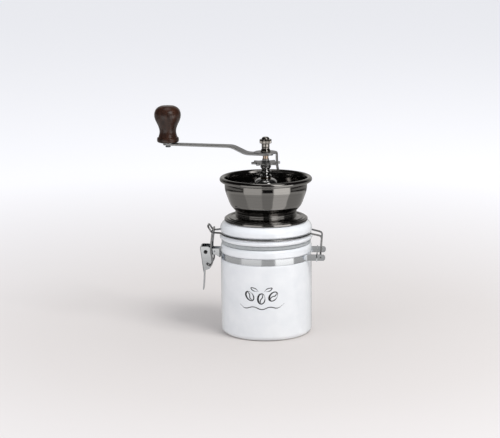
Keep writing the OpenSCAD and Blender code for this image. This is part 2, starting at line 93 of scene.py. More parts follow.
def cards(tree, direction, dim, gain, side):
    """Brightness of the tent by azimuth: a card's own times gain between its two edges, side on the side
    walls, the pale room's behind the grinder, never under dim. The azimuth is atan2 of the direction's x
    and -y, turned back by the grinder's own turn."""
    parts = node(tree, "ShaderNodeSeparateXYZ", {0: direction}).outputs
    back = node(tree, "ShaderNodeMath", {0: parts["Y"], 1: -1}, operation="MULTIPLY").outputs[0]
    turn = node(tree, "ShaderNodeMath", {0: parts["X"], 1: back}, operation="ARCTAN2").outputs[0]
    grinder_turn = math.radians(CAMERA_TURN)
    azimuth = node(tree, "ShaderNodeMath", {0: turn, 1: grinder_turn}, operation="SUBTRACT").outputs[0]
    left = node(tree, "ShaderNodeMath", {0: gain, 1: CARD_LEFT[2]}, operation="MULTIPLY").outputs[0]
    right = node(tree, "ShaderNodeMath", {0: gain, 1: CARD_RIGHT[2]}, operation="MULTIPLY").outputs[0]
    light = dim
    for low, high, bright, soft in ((*CARD_LEFT[:2], left, 0.03), (*CARD_RIGHT[:2], right, 0.03),
                                    (*SIDE_WALLS, side, 0.1), (*BEHIND, 0.25)):
        middle, half = math.radians((low + high) / 2), math.radians((high - low) / 2)
        off = node(tree, "ShaderNodeMath", {0: azimuth, 1: middle}, operation="SUBTRACT").outputs[0]
        near = node(tree, "ShaderNodeMath", {0: off, 1: math.pi, 2: -math.pi}, operation="WRAP").outputs[0]
        away = node(tree, "ShaderNodeMath", {0: near}, operation="ABSOLUTE").outputs[0]
        inside = node(tree, "ShaderNodeMapRange", {0: away, 1: half + soft, 2: half - soft, 3: 0, 4: bright})
        light = node(tree, "ShaderNodeMath", {0: inside.outputs[0], 1: light}, operation="MAXIMUM").outputs[0]
    return light


world = bpy.data.worlds.new("studio_sky")
bpy.context.scene.world = world
world.use_nodes = True
sky = world.node_tree
sky.nodes.clear()

# What mirror rays see of the sky: a silk straight overhead, the pale room behind, and a round softbox high at
# the front right; all else is dark. Other rays see the even sky.
looking = node(sky, "ShaderNodeTexCoord").outputs["Generated"]
parts = node(sky, "ShaderNodeSeparateXYZ", {0: looking}).outputs
overhead = node(sky, "ShaderNodeMapRange", {0: parts["Z"], 1: 0.93, 2: 0.97, 3: 0.012, 4: 1.1}).outputs[0]
room = node(sky, "ShaderNodeMapRange", {0: parts["Y"], 1: 0.55, 2: 0.95, 3: 0, 4: 0.5}).outputs[0]
toward = node(sky, "ShaderNodeVectorMath", {0: looking, 1: (0.5, -0.66, 0.56)}, operation="DOT_PRODUCT")
box = node(sky, "ShaderNodeMapRange", {0: toward.outputs["Value"], 1: 0.955, 2: 0.98, 3: 0, 4: 3}).outputs[0]
tent = node(sky, "ShaderNodeMath", {0: overhead, 1: room}, operation="MAXIMUM").outputs[0]
tent = node(sky, "ShaderNodeMath", {0: tent, 1: box}, operation="MAXIMUM").outputs[0]
ray = node(sky, "ShaderNodeLightPath").outputs
even = node(sky, "ShaderNodeBackground", {"Color": linear("EEEFF2"), "Strength": 0.8}).outputs[0]
mirrored = node(sky, "ShaderNodeBackground", {"Color": linear(TENT_WHITE), "Strength": tent}).outputs[0]
mixed = node(sky, "ShaderNodeMixShader", {0: ray["Is Glossy Ray"], 1: even, 2: mirrored}).outputs[0]
node(sky, "ShaderNodeOutputWorld", {"Surface": mixed})

# The table top: pale warm grey with painted shade, darker under the grinder and lighter with distance as a
# sweep is, and a painted glow that grows with distance.
FLOOR_SIZE = 14  # metres from the middle to an edge
floor_mesh = bpy.data.meshes.new("table_top")
corners = np.array([[-1, -1, 0], [1, -1, 0], [1, 1, 0], [-1, 1, 0]]) * FLOOR_SIZE
floor_mesh.from_pydata(corners.tolist(), [], [(0, 1, 2, 3)])
floor = bpy.data.objects.new("table_top", floor_mesh)
bpy.context.scene.collection.objects.link(floor)
table_paint = bpy.data.materials.new("pale_table_paint")
table_paint.use_nodes = True
tree = table_paint.node_tree
tree.nodes.clear()
place = node(tree, "ShaderNodeTexCoord").outputs["Object"]
reach = node(tree, "ShaderNodeVectorMath", {0: place}, operation="LENGTH").outputs["Value"]
# Painted shade: the paint grades from darker near the grinder to lighter far off.
painted_shade_fade = node(tree, "ShaderNodeMapRange", {0: reach, 1: 0.25, 2: 1.1}).outputs[0]
paint = node(tree, "ShaderNodeValToRGB", {"Fac": painted_shade_fade}, [(0, "D3CECB"), (1, "E3E2E3")]).outputs[0]
paint = node(tree, "ShaderNodeBsdfDiffuse", {"Color": paint}).outputs[0]
# Painted glow: the top emits light, faint near the grinder and stronger with distance.
painted_glow = node(tree, "ShaderNodeMapRange", {0: reach, 1: 0.08, 2: 1, 3: 0.02, 4: 0.33}).outputs[0]
painted_glow = node(tree, "ShaderNodeEmission", {"Color": linear("EEF1F8"), "Strength": painted_glow}).outputs[0]
paint = node(tree, "ShaderNodeAddShader", {0: paint, 1: painted_glow}).outputs[0]

# What mirror rays see in place of the paint, by reach, the distance from the jar's axis in metres: a mid grey
# that ends at 0.6, the cards brighter past 0.4, and the side walls from 0.75 on.
near = node(tree, "ShaderNodeMapRange", {0: reach, 1: 0.36, 2: 0.42, 3: 0.45, 4: 0.58}).outputs[0]
gone = node(tree, "ShaderNodeMapRange", {0: reach, 1: 0.56, 2: 0.62, 3: 1, 4: 0.012}).outputs[0]
near = node(tree, "ShaderNodeMath", {0: near, 1: gone}, operation="MULTIPLY").outputs[0]
gain = node(tree, "ShaderNodeMapRange", {0: reach, 1: 0.36, 2: 0.42, 3: 0.72, 4: 1.2}).outputs[0]
side = node(tree, "ShaderNodeMapRange", {0: reach, 1: 0.72, 2: 0.78, 3: 0, 4: 0.33}).outputs[0]
tent = cards(tree, place, near, gain, side)
sheen = node(tree, "ShaderNodeEmission", {"Color": linear(TENT_WHITE), "Strength": tent}).outputs[0]
ray = node(tree, "ShaderNodeLightPath").outputs
top = node(tree, "ShaderNodeMixShader", {0: ray["Is Glossy Ray"], 1: paint, 2: sheen}).outputs[0]
node(tree, "ShaderNodeOutputMaterial", {"Surface": top})
floor_mesh.materials.append(table_paint)


def turned_spot(spot):
    """A place given in millimetres in the camera's frame, turned about the jar's axis into the grinder's
    frame, in metres."""
    a = math.radians(CAMERA_TURN)
    x, y, z = spot
    return (x * math.cos(a) - y * math.sin(a)) / 1000, (x * math.sin(a) + y * math.cos(a)) / 1000, z / 1000


def soft_light(name, spot, aim, size, watts, tint):
    """A square soft light at spot whose face points to aim."""
    data = bpy.data.lights.new(name, "AREA")
    data.shape = "SQUARE"
    data.size = size
    data.energy = watts
    data.color = linear(tint)[:3]
    lamp = bpy.data.objects.new(name, data)
    bpy.context.scene.collection.objects.link(lamp)
    lamp.location = turned_spot(spot)
    away = lamp.location - Vector(turned_spot(aim))
    lamp.rotation_euler = away.to_track_quat("Z", "Y").to_euler()
    lamp.visible_glossy = False
    return lamp


soft_light("key_from_right", (1100, -1050, 2350), (0, 0, 80), 1.1, 40, "FFFFFF")
soft_light("fill_from_left", (-1300, -700, 700), (0, 0, 100), 1.0, 2.6, "F2F5FF")

camera_data = bpy.data.cameras.new("camera")
camera_data.lens = LENS
camera_data.clip_end = 30
camera = bpy.data.objects.new("camera", camera_data)
bpy.context.scene.collection.objects.link(camera)
camera.location = turned_spot(CAMERA_SPOT)
aim = Euler((math.radians(90 - CAMERA_TILT), 0, math.radians(CAMERA_TURN))).to_quaternion()
camera.rotation_mode = "QUATERNION"
camera.rotation_quaternion = aim @ Quaternion((0, 0, 1), math.radians(-CAMERA_ROLL))
bpy.context.scene.camera = camera
bpy.context.scene.view_settings.view_transform = "Standard"


# ---------------------------------------------------------------- jar
# Slip-cast white stoneware jar, dipped in a clear gloss glaze and fired on its wiped foot. A groove round
# the neck takes the steel band, and the rim is ground flat for the gasket.

def extent(name):
    """Lowest and highest corner of a CAD node in millimetres."""
    low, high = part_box(name)
    return np.array(low) * 1000, np.array(high) * 1000


def eased(points, cut, steps=6):
    """Route with each corner eased: between the two places a distance cut off corner p the line is the
    quadratic curve (1-t)^2 a + 2t(1-t) p + t^2 b. cut is one number or one for each point."""
    p = np.asarray(points, float)
    before = np.roll(p, 1, 0) - p
    after = np.roll(p, -1, 0) - p
    before[0] = after[-1] = 0
    lengths = [np.maximum(np.linalg.norm(v, axis=1, keepdims=True), 1e-9) for v in (before, after)]
    off = np.minimum(np.broadcast_to(np.asarray(cut, float).reshape(-1, 1), (len(p), 1)),
                     0.49 * np.minimum(*lengths))
    off[0] = off[-1] = 0
    a, b = p + off * before / lengths[0], p + off * after / lengths[1]
    t = np.linspace(0, 1, steps + 1).reshape(1, -1, 1)
    curve = (1 - t) ** 2 * a[:, None] + 2 * t * (1 - t) * p[:, None] + t ** 2 * b[:, None]
    flat = curve.reshape(-1, p.shape[1])
    return flat[np.append(True, np.linalg.norm(np.diff(flat, axis=0), axis=1) > 1e-6)]


def arc(centre, radius, start, end, steps=8):
    """Points on a circle: centre + radius (cos a, sin a), a from start to end in degrees."""
    a = np.radians(np.linspace(start, end, steps + 1))
    return np.stack([centre[0] + radius * np.cos(a), centre[1] + radius * np.sin(a)], 1)


def turned(profile, turns=192, swell=None):
    """Grid of a profile (radius, height) turned about Z: x = r cos a, y = r sin a. swell(angle, radius,
    height) gives an added radius."""
    profile = np.asarray(profile, float)
    a = np.linspace(0, 2 * np.pi, turns, endpoint=False)[None, :]
    r, z = profile[:, :1] + 0 * a, profile[:, 1:] + 0 * a
    if swell is not None:
        r = r + swell(a, r, z)
    return np.stack([r * np.cos(a), r * np.sin(a), z], 2)


def build(name, grids, material, sharp=38):
    """One mesh of several grids, in metres. A grid's points (i, j), (i+1, j), (i+1, j+1), (i, j+1) make a
    face; it is closed round j, and round i too where it comes as (grid, True). Doubled points at poles are
    merged, open ends are capped, and edges sharper than the given angle stay crisp."""
    points, faces, count = [], [], 0
    for grid in grids:
        grid, ring = grid if isinstance(grid, tuple) else (grid, False)
        n, m = grid.shape[:2]
        i, j = np.meshgrid(np.arange(n if ring else n - 1), np.arange(m), indexing="ij")
        k, l = (i + 1) % n, (j + 1) % m
        faces.append(count + np.stack([i * m + j, k * m + j, k * m + l, i * m + l], -1).reshape(-1, 4))
        points.append(grid.reshape(-1, 3) / 1000)
        count += n * m
    mesh = bpy.data.meshes.new(name)
    mesh.from_pydata(np.concatenate(points).tolist(), [], np.concatenate(faces).tolist())
    form = bmesh.new()
    form.from_mesh(mesh)
    bmesh.ops.remove_doubles(form, verts=form.verts, dist=2e-6)
    rims = [edge for edge in form.edges if edge.is_boundary]
    if rims:
        bmesh.ops.holes_fill(form, edges=rims, sides=0)
    bmesh.ops.recalc_face_normals(form, faces=form.faces)
    form.to_mesh(mesh)
    form.free()
    mesh.polygons.foreach_set("use_smooth", np.ones(len(mesh.polygons), bool))
    mesh.set_sharp_from_angle(angle=math.radians(sharp))
    mesh.materials.append(material)
    piece = bpy.data.objects.new(name, mesh)
    bpy.context.scene.collection.objects.link(piece)
    piece.modifiers.new("flat_faces_stay_flat", "WEIGHTED_NORMAL").keep_sharp = True
    return piece


def finish(name, settings):
    """A new material with a Principled shader set as given, and what detail is added with: its tree, its
    shader and the place on the object in metres."""
    made = bpy.data.materials.new(name)
    made.use_nodes = True
    tree = made.node_tree
    shader = tree.nodes["Principled BSDF"]
    for socket, value in settings.items():
        shader.inputs[socket].default_value = value
    return made, tree, shader, node(tree, "ShaderNodeTexCoord").outputs["Object"]


def belongs(piece, body, part):
    """Rides a piece on its body, in place of one CAD part, which is hidden."""
    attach(piece, body)
    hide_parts(part)


# Clear glaze over white stoneware: deep wet gloss, a slow ripple some 11 mm long where the glaze ran, clouds
# of cool grey 17 mm across, and a bare matt foot with 0.4 mm grit.
glaze, tree, shader, place = finish("clear_glaze_on_stoneware", {
    "Roughness": 0.16, "IOR": 1.52, "Coat Weight": 0.6, "Coat Roughness": 0.04, "Coat IOR": 1.5})
cloud = node(tree, "ShaderNodeTexNoise", {"Vector": place, "Scale": 60, "Detail": 3}).outputs["Fac"]
body_tint = node(tree, "ShaderNodeValToRGB", {"Fac": cloud}, [(0.3, "EBEEF1"), (0.7, "F4F6F8")]).outputs[0]
above = node(tree, "ShaderNodeSeparateXYZ", {0: place}).outputs["Z"]
foot = node(tree, "ShaderNodeMapRange", {0: above, 1: 0.0004, 2: 0.0009, 3: 1, 4: 0}).outputs[0]
grit = node(tree, "ShaderNodeTexNoise", {"Vector": place, "Scale": 2500, "Detail": 2}).outputs["Fac"]
bisque = node(tree, "ShaderNodeValToRGB", {"Fac": grit}, [(0.3, "CFC8BE"), (0.7, "E2DCD2")]).outputs[0]
tint = node(tree, "ShaderNodeMix", {0: foot, 6: body_tint, 7: bisque}, data_type="RGBA").outputs[2]
tree.links.new(tint, shader.inputs["Base Color"])
dull = node(tree, "ShaderNodeMapRange", {0: foot, 3: 0.16, 4: 0.8}).outputs[0]
tree.links.new(dull, shader.inputs["Roughness"])
ripple = node(tree, "ShaderNodeTexNoise", {"Vector": place, "Scale": 90, "Detail": 2, "Roughness": 0.4})
bump = node(tree, "ShaderNodeBump", {"Height": ripple.outputs["Fac"], "Strength": 0.12, "Distance": 0.0006})
tree.links.new(bump.outputs[0], shader.inputs["Normal"])

low, high = extent("canister")
jar_r, jar_top = high[0], high[2]
band_low, band_high = extent("band_tie")[0][2] + 0.8, extent("band_tie")[1][2] - 0.8
mouth_r, wall, floor_up = 39.5, 5, 6
jar_profile = np.concatenate([
    [[0, 1.1], [33, 1.1], [35.5, 0.9]],
    eased([[35.5, 0.9], [37, 0], [41.5, 0]], 1),
    arc([jar_r - 5, 5], 5, -80, 0, 10),
    [[jar_r, band_low - 4.4]],
    eased([[jar_r, band_low - 4], [jar_r, band_low - 1], [jar_r - 0.6, band_low], [jar_r - 0.6, band_high],
           [jar_r, band_high + 0.8], [jar_r, jar_top - 2.6], [jar_r - 1.2, jar_top - 0.2],
           [mouth_r + 1, jar_top], [mouth_r, jar_top - 1.5]], [1, 1, 0.5, 0.5, 1.2, 1.6, 1.6, 1.2, 1]),
    eased([[mouth_r, jar_top - 2], [mouth_r, band_high], [jar_r - wall, band_low], [jar_r - wall, floor_up],
           [0, floor_up]], [0, 3, 3, 9, 0], 9)])
jar = build("stoneware_jar", [turned(jar_profile)], glaze)
belongs(jar, "jar", "canister")


# ---------------------------------------------------------------- bean motif
# Screen-printed line drawing on the front of the jar, fired on over the glaze: a coffee sprig with three
# beans, in a stroke that swells like a pen's.

motif_z = 45.5
motif_turn = -93  # degrees round the jar to the drawing's middle
ink_lift = 0.12

def marked(tree, shader, marks, dark, light, blur=None, relief=None):
    """What a noise of marks does to a finish: colour from dark to light, roughness across the range blur, and
    a bump of relief's strength and depth in metres."""
    tint = node(tree, "ShaderNodeValToRGB", {"Fac": marks}, [(0.3, dark), (0.7, light)]).outputs[0]
    tree.links.new(tint, shader.inputs["Base Color"])
    if blur:
        rough = node(tree, "ShaderNodeMapRange", {0: marks, 1: 0.3, 2: 0.7, 3: blur[0], 4: blur[1]})
        tree.links.new(rough.outputs[0], shader.inputs["Roughness"])
    if relief:
        bump = node(tree, "ShaderNodeBump", {"Height": marks, "Strength": relief[0], "Distance": relief[1]})
        tree.links.new(bump.outputs[0], shader.inputs["Normal"])


# Fired black enamel: a slightly raised satin black line, mottled about 1.4 mm apart.
enamel, tree, shader, place = finish("fired_black_enamel", {"Roughness": 0.38, "Coat Weight": 0.2})
cloud = node(tree, "ShaderNodeTexNoise", {"Vector": place, "Scale": 700}).outputs["Fac"]
marked(tree, shader, cloud, "131315", "202124")


def pen_stroke(points, broad, fine=0.42, steps=10):
    """Grid of one raised line on the jar. The flat route (across, up) is wrapped round the jar's wall, the
    half width grows from fine to broad where the route goes down, as a pen's does, and tapers to both
    ends; across the line the height is ink_lift (1 - s^2) over the glaze."""
    route = eased(points, 100, steps)
    along = np.gradient(route, axis=0)
    along /= np.maximum(np.linalg.norm(along, axis=1, keepdims=True), 1e-9)
    side = np.stack([-along[:, 1], along[:, 0]], 1)
    share = np.linspace(0, 1, len(route))
    half = fine + (broad - fine) * (0.35 + along[:, 1:2].clip(-1, 0) ** 2)
    half = half * np.minimum(1, 0.25 + 6 * np.minimum(share, 1 - share))[:, None]
    s = np.array([-1, -0.6, 0, 0.6, 1, 0.5, -0.5])
    lift = np.array([0, 0.64, 1, 0.64, 0, -0.8, -0.8]) * ink_lift
    flat = route[:, None] + side[:, None] * (s[None, :] * half)[..., None]
    turn = np.radians(motif_turn) + flat[..., 0] / jar_r
    r = jar_r + lift[None, :]
    return np.stack([r * np.cos(turn), r * np.sin(turn), motif_z + flat[..., 1]], 2)


def bean(middle, lean, length=11, width=7.4):
    """Strokes of one coffee bean: an oval outline and the S-shaped crease, leaning by an angle."""
    a = np.linspace(0, 2 * np.pi, 25)
    oval = np.stack([width / 2 * np.cos(a + 0.5), length / 2 * np.sin(a + 0.5)], 1)
    crease = np.stack([0.16 * width * np.sin(np.linspace(-np.pi, np.pi, 13)),
                       0.88 * length * np.linspace(-0.5, 0.5, 13)], 1)
    c, s = math.cos(math.radians(lean)), math.sin(math.radians(lean))
    spin = np.array([[c, s], [-s, c]])
    return [pen_stroke(oval @ spin + middle, 0.85), pen_stroke(crease @ spin + middle, 0.7)]


strokes = bean((-12.5, 3), 38) + bean((0, 0.5), -4) + bean((12.5, 3), -40)
strokes.append(pen_stroke([[-24, -6.5], [-18, -11], [-8, -7.5], [0, -11.8], [9, -7.5], [17, -10.5],
                           [24, -5]], 0.6))
for s in (-1, 1):
    strokes.append(pen_stroke([[s * 3, 8.5], [s * 6, 11.5], [s * 12, 12.5], [s * 9, 8.6], [s * 4, 8.2]], 0.5))
motif = build("bean_motif", strokes, enamel)
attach(motif, "jar")


# ---------------------------------------------------------------- gasket
# Moulded food-grade silicone ring between jar and lid, squeezed so that its edge bulges a little.

# Silicone rubber: milky grey, dull, slightly waxy, clouded about 3 mm apart.
silicone, tree, shader, place = finish("milky_silicone_rubber", {
    "Roughness": 0.5, "IOR": 1.41, "Subsurface Weight": 0.15, "Subsurface Radius": (0.002, 0.002, 0.002)})
cloud = node(tree, "ShaderNodeTexNoise", {"Vector": place, "Scale": 300, "Detail": 4}).outputs["Fac"]
marked(tree, shader, cloud, "AEB2B3", "BBBFC0", relief=(0.1, 0.0002))

low, high = extent("gasket")
gasket_in, gasket_flat, gasket_edge = 37.7, 45.6, 47.2
gasket_profile = eased([[gasket_in, low[2]], [gasket_flat, low[2]], [gasket_edge, low[2] + 0.5],
                        [high[0], (low[2] + high[2]) / 2], [gasket_edge, high[2] - 0.5],
                        [gasket_flat, high[2]], [gasket_in, high[2]], [gasket_in, low[2]]], 0.8)
gasket = build("silicone_gasket", [turned(gasket_profile)], silicone)
belongs(gasket, "lid", "gasket")


# ---------------------------------------------------------------- lid ring
# Glazed stoneware ring that carries the mill: a hollow plug hangs in the jar's mouth, a rolled bead stands
# over the gasket, and the wire bail lies in the groove above it.

low, high = extent("lid_ring")
lid_z, lid_top, bail_z = jar_top + 4.2, high[2], jar_top + 11.2
lid_r, bead, shoulder, plug_in, plug_r, roof_z, bore_r = 48.6, 2.4, 8.3, 33.5, 37.5, 112, 25.5
lid_profile = np.concatenate([
    eased([[plug_in, roof_z], [plug_in, 94], [plug_r - 0.9, 94], [plug_r, 95], [plug_r, lid_z], [46, lid_z]],
          [1, 1.4, 1, 1, 1.2, 0]),
    arc([lid_r + 0.6 - bead, lid_z + bead], bead, -82, 60, 12),
    eased([[48.35, bail_z - 2.2], [48.3, bail_z - 1.7], [47.3, bail_z - 1], [47.2, bail_z],
           [47.3, bail_z + 1], [48.3, bail_z + 1.7], [48.5, bail_z + 3.4]], 0.8),
    arc([lid_r - shoulder - 0.1, lid_top - shoulder], shoulder, 10, 78, 14),
    eased([[lid_r - 8, lid_top], [bore_r + 0.1, lid_top], [bore_r, lid_top - 0.4], [bore_r, roof_z],
           [plug_in, roof_z]], 0.5)])
lid = build("stoneware_lid", [turned(lid_profile)], glaze)
belongs(lid, "lid", "lid_ring")


# ---------------------------------------------------------------- neck band
# Cold-rolled stainless strip drawn tight in the jar's groove. Its two ends are bent out as the hinge ears,
# and a stamped tie plate slid over them keeps the band closed.

def strip(route, across, width, thick, edge=0.2):
    """Grid of a strip: a rectangle, width by thick, with corners rounded by edge, carried along a flat
    route. Its width runs along the unit vector across, its thickness along tangent x across. width may
    change along the route."""
    route = np.asarray(route, float)
    along = np.gradient(route, axis=0)
    along /= np.linalg.norm(along, axis=1, keepdims=True)
    out = np.cross(along, across)
    half = np.broadcast_to(np.asarray(width, float) / 2, len(route))[:, None]
    edge = np.minimum(edge, 0.8 * half)
    a = np.radians(np.arange(0, 91, 30) + np.arange(0, 360, 90)[:, None]).reshape(1, -1)
    wide = np.repeat([1, -1, -1, 1], 4) * (half - edge) + edge * np.cos(a)
    deep = np.repeat([1, 1, -1, -1], 4) * (thick / 2 - edge) + edge * np.sin(a)
    return route[:, None] + wide[..., None] * np.asarray(across, float) + deep[..., None] * out[:, None]


def ends_rounded(route, width, reach):
    """Width of a strip whose two ends are half ovals: width sqrt(1 - (1 - d / reach)^2) within reach of an
    end, where d is the distance to it along the route."""
    step = np.linalg.norm(np.diff(route, axis=0), axis=1)
    d = np.append(0, np.cumsum(step))
    near = np.minimum(d, d[-1] - d) / reach
    return width * np.sqrt(np.maximum(1 - np.maximum(1 - near, 0) ** 2, 0.02))


# Cold-rolled stainless steel: bright grey, blurred across fine rolling lines along the strip. They are drawn
# 0.2 mm apart, coarser than real ones, so that they show.
stainless, tree, shader, place = finish("rolled_stainless_strip", {"Metallic": 1.0, "Roughness": 0.13})
fine = node(tree, "ShaderNodeMapping", {"Vector": place, "Scale": (40, 40, 5200)}).outputs[0]
lines = node(tree, "ShaderNodeTexNoise", {"Vector": fine, "Scale": 1, "Detail": 3}).outputs["Fac"]
marked(tree, shader, lines, "D0D3D7", "DBDEE2", blur=(0.1, 0.15), relief=(0.02, 0.00003))

low, high = extent("neck_band")
band_z, band_w, band_mid = (low[2] + high[2]) / 2, high[2] - low[2], -low[0] - 0.45
ear_y, ear_end, up = 20.5, high[0], (0, 0, 1)
root = math.degrees(math.asin(ear_y / band_mid))
hoop = arc((0, 0), band_mid, root, 360 - root, 120)
ear_line = np.array([[ear_end - d, ear_y] for d in (0, 0.3, 1, 2, 4)])
hoop = np.concatenate([ear_line, hoop, ear_line[::-1] * (1, -1)])
bends = np.zeros(len(hoop))
bends[[5, -6]] = 4
hoop = eased(np.column_stack([hoop, np.full(len(hoop), band_z)]), bends)
band = build("neck_band_strip", [strip(hoop, up, ends_rounded(hoop, band_w, 2.4), 0.9)], stainless)
belongs(band, "jar", "neck_band")

low, high = extent("band_tie")
tie_x = (low[0] + high[0]) / 2
tie_route = np.column_stack([np.full(25, tie_x), np.linspace(low[1], high[1], 25), np.full(25, band_z)])
tie = build("band_tie_plate", [strip(tie_route, up, ends_rounded(tie_route, high[2] - low[2], 1.2), 1, 0.25)],
            stainless)
belongs(tie, "jar", "band_tie")


# ---------------------------------------------------------------- latch bracket and lever
# Bracket and lever are blanked and folded from 1 mm stainless sheet. The bracket is spot-welded to the band,
# and the lever's two cheeks turn outside its ears on a peened rivet.

def plate(outline, low, high, axes=(0, 2, 1), edge=0.22):
    """Grid of a flat plate with rounded edges: the outline, drawn in the first two of axes, is stacked from
    low to high along the third, and drawn in at both faces by edge (1 - cos a) along its corner normals."""
    outline = np.asarray(outline, float)
    ahead = np.roll(outline, -1, 0) - outline
    ahead /= np.maximum(np.linalg.norm(ahead, axis=1, keepdims=True), 1e-9)
    mean = ahead + np.roll(ahead, 1, 0)
    inward = np.stack([-mean[:, 1], mean[:, 0]], 1)
    inward /= np.maximum(np.linalg.norm(inward, axis=1, keepdims=True), 1e-9)
    x, y = outline.T
    if np.sum(x * np.roll(y, -1) - y * np.roll(x, -1)) < 0:
        inward = -inward
    a = np.radians(np.array([90, 60, 30, 0, 0, 30, 60, 90]))
    rise = edge * (1 - np.sin(a))
    level = np.where(np.arange(8) < 4, low + rise, high - rise)
    flat = outline[None] + inward[None] * (edge * (1 - np.cos(a)))[:, None, None]
    grid = np.empty((8, len(outline), 3))
    grid[..., axes[0]], grid[..., axes[1]], grid[..., axes[2]] = flat[..., 0], flat[..., 1], level[:, None]
    return grid


low, high = extent("latch_bracket")
pivot, ear_in, ear_top, ear_low = (low[0] + 3.3, 86.6), high[1], high[2], 83.2
base_x = -band_mid - 0.65
foot_low = band_z - band_w / 2
ear = np.concatenate([[[base_x, foot_low], [base_x, ear_top]], arc(pivot, 3.3, 90, 270, 14),
                      [[base_x - 5, ear_low], [base_x - 1.4, foot_low]]])
foot_route = np.column_stack([np.full(9, base_x - 0.5), np.linspace(-ear_in, ear_in, 9),
                              np.full(9, (ear_top + foot_low) / 2)])
bracket_grids = [plate(ear, s * (ear_in - 0.5) - 0.5, s * (ear_in - 0.5) + 0.5) for s in (-1, 1)]
bracket_grids.append(strip(foot_route, up, ear_top - foot_low, 1))
dimple = turned([[0, 0.45], [0.4, 0.4], [0.75, 0.2], [0.9, 0]], 20)
for side in (-1, 1):
    for x in (-59.4, -54.6):
        bracket_grids.append(np.stack([x + dimple[..., 0], side * (ear_in + dimple[..., 2]),
                                       86.8 + dimple[..., 1]], 2))
bracket = build("latch_bracket_sheet", bracket_grids, stainless)
belongs(bracket, "jar", "latch_bracket")

# Oiled dark steel of the rivet, stained in patches about 1 mm across.
dark_steel, tree, shader, place = finish("oiled_dark_steel", {"Metallic": 1.0, "Roughness": 0.34})
stain = node(tree, "ShaderNodeTexNoise", {"Vector": place, "Scale": 900, "Detail": 4}).outputs["Fac"]
marked(tree, shader, stain, "3A3A3B", "5C5C5E")

pin_y, pin_r, head_r = 8.6, 1.5, 2.1
pin = turned(np.concatenate([
    [[0, -pin_y - 0.75], [1, -pin_y - 0.68]],
    eased([[1, -pin_y - 0.68], [head_r, -pin_y - 0.3], [head_r, -pin_y], [pin_r, -pin_y]], 0.5),
    [[pin_r, pin_y], [head_r, pin_y], [head_r, pin_y + 0.3], [1, pin_y + 0.68], [0, pin_y + 0.75]]]), 32)
pin = np.stack([pivot[0] + pin[..., 0], pin[..., 2], pivot[1] + pin[..., 1]], 2)
rivet = build("latch_rivet", [pin], dark_steel)
belongs(rivet, "jar", "lever_pin")

low, high = extent("latch_lever")
cheek_y, lever_tip = high[1], low[2]
web_x = low[0] + 0.6
cheek = np.concatenate([[[low[0], 91.2], [-68.6, high[2]], [-63.2, high[2]]],
                        arc((-62.4, 88.4), 4, 75, 0, 6), [[-58, 74]], arc((-62.4, 72), 4.4, 10, -80, 8),
                        [[-64.9, 66.6], [-66.6, 64.4]]])
cheek = eased(np.concatenate([cheek, cheek[:1]]), 0.7, 3)[:-1]
web = eased([[web_x + 0.3, 0, 92.1], [web_x, 0, 91], [-66.2, 0, 66], [-66, 0, 64.2]], 1)
tail = eased([[-66.1, 0, 68], [-66.0, 0, 63.5], [-66.6, 0, 52], [-67.2, 0, lever_tip + 1.6],
              [-67.4, 0, lever_tip + 0.9], [-67.5, 0, lever_tip + 0.3], [-67.5, 0, lever_tip]], 3)
sideways = (0, 1, 0)
lever_grids = [plate(cheek, s * (cheek_y - 0.5) - 0.5, s * (cheek_y - 0.5) + 0.5) for s in (-1, 1)]
lever_grids += [strip(web, sideways, 2 * cheek_y, 1.1, 0.4),
                strip(tail, sideways, ends_rounded(tail, 11, 3), 1.1, 0.35)]
lever = build("latch_lever_sheet", lever_grids, stainless)
belongs(lever, "lever", "latch_lever")


# ---------------------------------------------------------------- wire link and bail
# Both are bent from 2 mm drawn spring wire. The link's crossbar sits in the bail's hook and its tips turn in
# the lever; the bail circles the lid in its groove and turns in the hinge ears.

wire_r = 0.98


def wire(route, radius=wire_r, sides=16):
    """Grid of a round wire: a circle carried along the route without twist, each one's side vector being
    the last one's with the new tangent's share taken out. At both ends the radius falls as a quarter
    circle, sin a, while the route advances 1 - cos a."""
    route = np.asarray(route, float)
    first, last = route[1] - route[0], route[-1] - route[-2]
    first, last = first / np.linalg.norm(first), last / np.linalg.norm(last)
    a = np.radians([3, 30, 55, 75])
    nose = radius * (1 - np.cos(a))[:, None]
    route = np.concatenate([route[0] + nose * first, route[1:-1], (route[-1] - nose * last)[::-1]])
    size = radius * np.concatenate([np.sin(a), np.ones(len(route) - 8), np.sin(a)[::-1]])
    along = np.gradient(route, axis=0)
    along /= np.linalg.norm(along, axis=1, keepdims=True)
    frames = [np.cross(along[0], (0.3, 0.5, 0.8))]
    for t in along:
        side = frames[-1] - (frames[-1] @ t) * t
        frames.append(side / np.linalg.norm(side))
    side = np.array(frames[1:])
    turn = np.linspace(0, 2 * np.pi, sides, endpoint=False)[None, :, None]
    ring = np.cos(turn) * side[:, None] + np.sin(turn) * np.cross(along, side)[:, None]
    return route[:, None] + size[:, None, None] * ring


# Drawn spring wire: bright and nearly mirror-smooth, with faint drawing marks 0.8 mm apart.
bright_wire, tree, shader, place = finish("bright_drawn_wire", {"Metallic": 1.0, "Roughness": 0.17})
marks = node(tree, "ShaderNodeTexNoise", {"Vector": place, "Scale": 1200, "Detail": 3}).outputs["Fac"]
marked(tree, shader, marks, "8E8E8F", "A9A9AA", relief=(0.1, 0.00005))

link_y, link_x, link_z = extent("latch_link")[1][1] - wire_r, -62.5, 73.9
leg = [(link_x, 7.2, link_z), (link_x, link_y, link_z), (-58.6, link_y, 71.6), (-56.2, link_y, 77),
       (-58.6, link_y, 89), (-56, link_y, 110.2)]
link_route = leg + [(x, -y, z) for x, y, z in leg[::-1]]
cuts = [0, 1.6, 2.6, 6, 6, 2.4]
link = build("latch_link_wire", [wire(eased(link_route, cuts + cuts[::-1], 8))], bright_wire)
belongs(link, "link", "latch_link")

